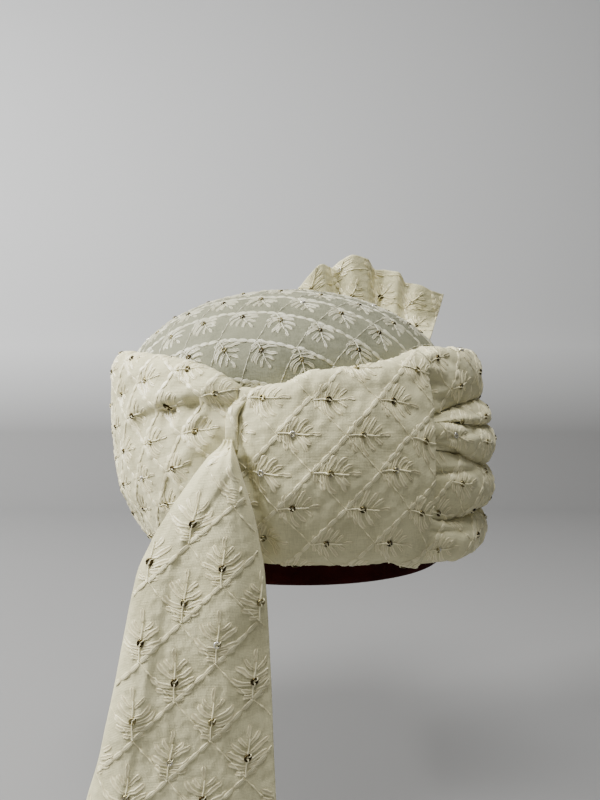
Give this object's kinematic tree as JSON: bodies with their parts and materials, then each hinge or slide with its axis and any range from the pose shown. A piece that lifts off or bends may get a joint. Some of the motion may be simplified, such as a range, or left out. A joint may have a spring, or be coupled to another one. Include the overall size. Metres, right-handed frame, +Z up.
{
  "type": "tied turban",
  "caption": "Embroidered cloth turban wound on a cap band, with a sheer low crown, stacked side rolls, a hanging tail and a pleated fan.",
  "frame": {"origin": "centre of the head opening, at the rim of the cap band", "axes": "+Z up through the crown, -Y to the front where the tail hangs, +X to the wearer's left, where the rolls are"},
  "size_m": [0.2423, 0.245, 0.3235],
  "materials": {
    "embroidered_cloth": "cream cotton and silk cloth with raised satin-stitched sprigs, stitched lattice lines and small ring sequins",
    "sheer_cloth": "one sheer layer of the same embroidered cloth, grey-green where the inside shows through",
    "cap_band": "plain matt dark maroon felt"
  },
  "bodies": {
    "root": {"inner_cap": "cap_band", "crown_cover": "sheer_cloth", "left_wrap": "embroidered_cloth", "right_wrap": "embroidered_cloth", "roll_1": "embroidered_cloth", "roll_2": "embroidered_cloth", "roll_3": "embroidered_cloth", "roll_4": "embroidered_cloth", "roll_5": "embroidered_cloth", "cross_fold": "embroidered_cloth", "tail": "embroidered_cloth", "turra_fan": "embroidered_cloth"}
  },
  "joints": []
}
